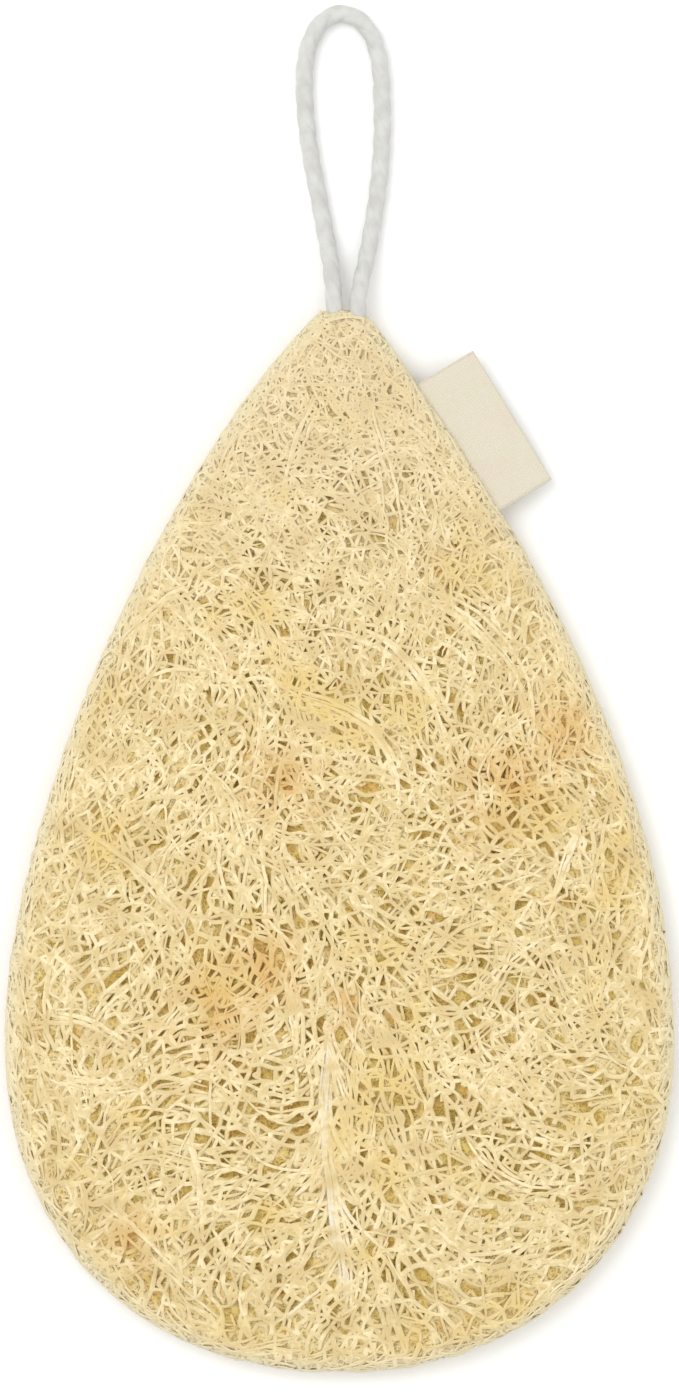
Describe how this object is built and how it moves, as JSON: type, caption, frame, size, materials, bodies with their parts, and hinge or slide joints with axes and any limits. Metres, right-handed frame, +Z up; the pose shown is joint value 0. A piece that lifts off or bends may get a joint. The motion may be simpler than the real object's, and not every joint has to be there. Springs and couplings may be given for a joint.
{
  "type": "natural loofah sponge",
  "caption": "Flat teardrop bath sponge of natural loofah fibre, with a cotton cord hanging loop at its tip and a folded blank cotton label in its edge.",
  "frame": {"origin": "under the middle of the pad's box, on the surface that the pad lies on, with the hanging cord left out", "axes": "+Y along the pad towards its tip and the hanging loop, +Z up through the pad's thickness"},
  "size_m": [0.101, 0.2062, 0.0121],
  "materials": {
    "loofah_fibre": "matte dry plant fibre",
    "cord_cotton": "matte undyed cotton",
    "label_cotton": "matte woven cotton tape"
  },
  "bodies": {
    "root": {"loofah_pad": "loofah_fibre", "hanging_cord": "cord_cotton", "cotton_label": "label_cotton"}
  },
  "joints": []
}
